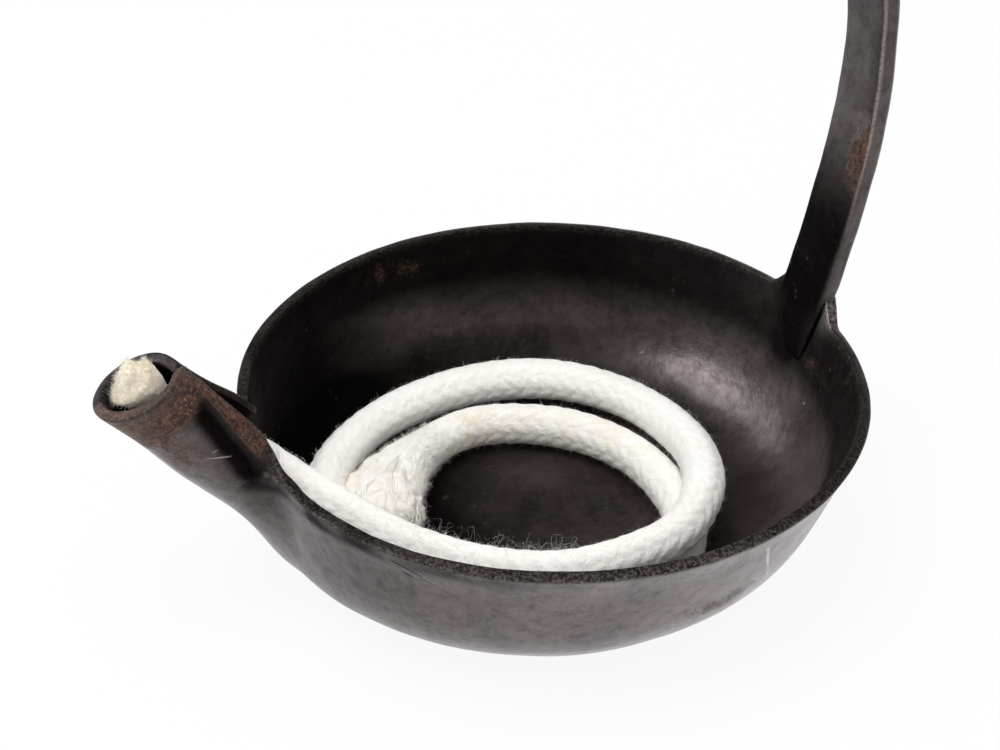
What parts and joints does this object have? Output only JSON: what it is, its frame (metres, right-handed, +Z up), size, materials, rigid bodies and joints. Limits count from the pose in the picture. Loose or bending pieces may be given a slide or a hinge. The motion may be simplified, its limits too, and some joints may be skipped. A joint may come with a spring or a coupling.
{
  "type": "wrought iron oil lamp",
  "caption": "Hand-forged iron oil lamp: shallow round bowl drawn out into a rolled spout, flat bar handle arching over to a hanging crook, and a cotton rope wick coiled in the bowl.",
  "frame": {"origin": "on the flat foot the bowl rests on, below the middle of the rim", "axes": "+Z up; -X points to the spout, the handle stands at the +X side turned a little towards +Y; +Y is away from the viewer of the picture"},
  "size_m": [0.1588, 0.1198, 0.1864],
  "materials": {
    "iron": "dark forged surface with worn edges and some rust",
    "cotton": "soft white rope with frayed ends"
  },
  "bodies": {
    "lamp": {"bowl_with_spout": "iron", "arm_with_crook": "iron", "wick_coil": "cotton"},
    "wick": {"wick_in_spout": "cotton"}
  },
  "joints": [
    {"name": "wick_feed", "type": "slide", "parent": "lamp", "child": "wick", "axis": [-0.7071, 0, 0.7071], "range_m": [0, 0.012]}
  ]
}
